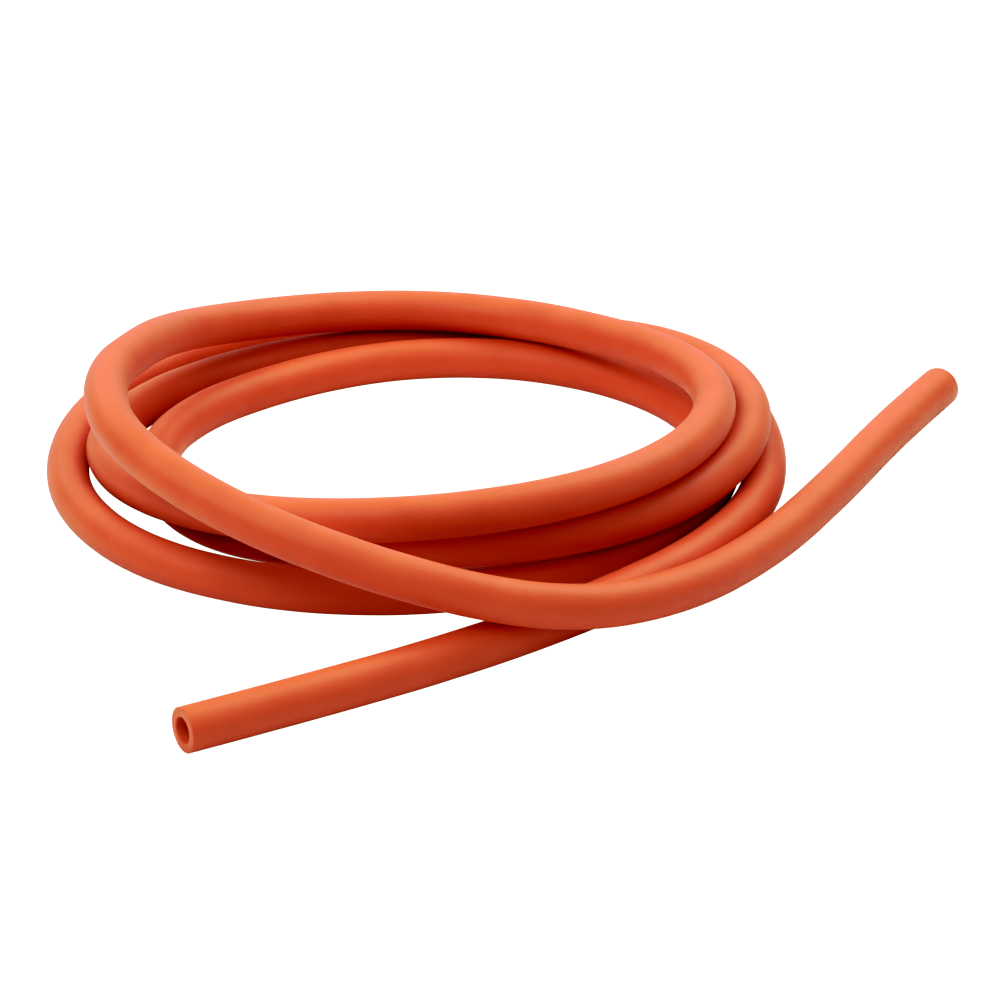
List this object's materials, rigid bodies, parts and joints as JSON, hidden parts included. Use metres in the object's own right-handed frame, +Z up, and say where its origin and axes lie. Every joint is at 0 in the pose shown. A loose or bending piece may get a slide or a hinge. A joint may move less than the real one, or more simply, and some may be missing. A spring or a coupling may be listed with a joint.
{
  "type": "rubber vacuum tubing",
  "caption": "Length of thick-walled flexible rubber tube lying in a loose coil, open at both ends, for joining a vacuum pump or trap to laboratory glassware.",
  "frame": {"origin": "middle of the coil's outline, on the surface that it lies on", "axes": "+Z up, -Y towards the viewer, where the near end of the tube reaches out to the left; +X right, where the far end reaches out and back; +Y is the longest extent"},
  "size_m": [0.3097, 0.343, 0.0573],
  "materials": {
    "rubber": "matt orange-red rubber with a faint bloom"
  },
  "bodies": {
    "root": {"vacuum_tubing": "rubber"}
  },
  "joints": []
}
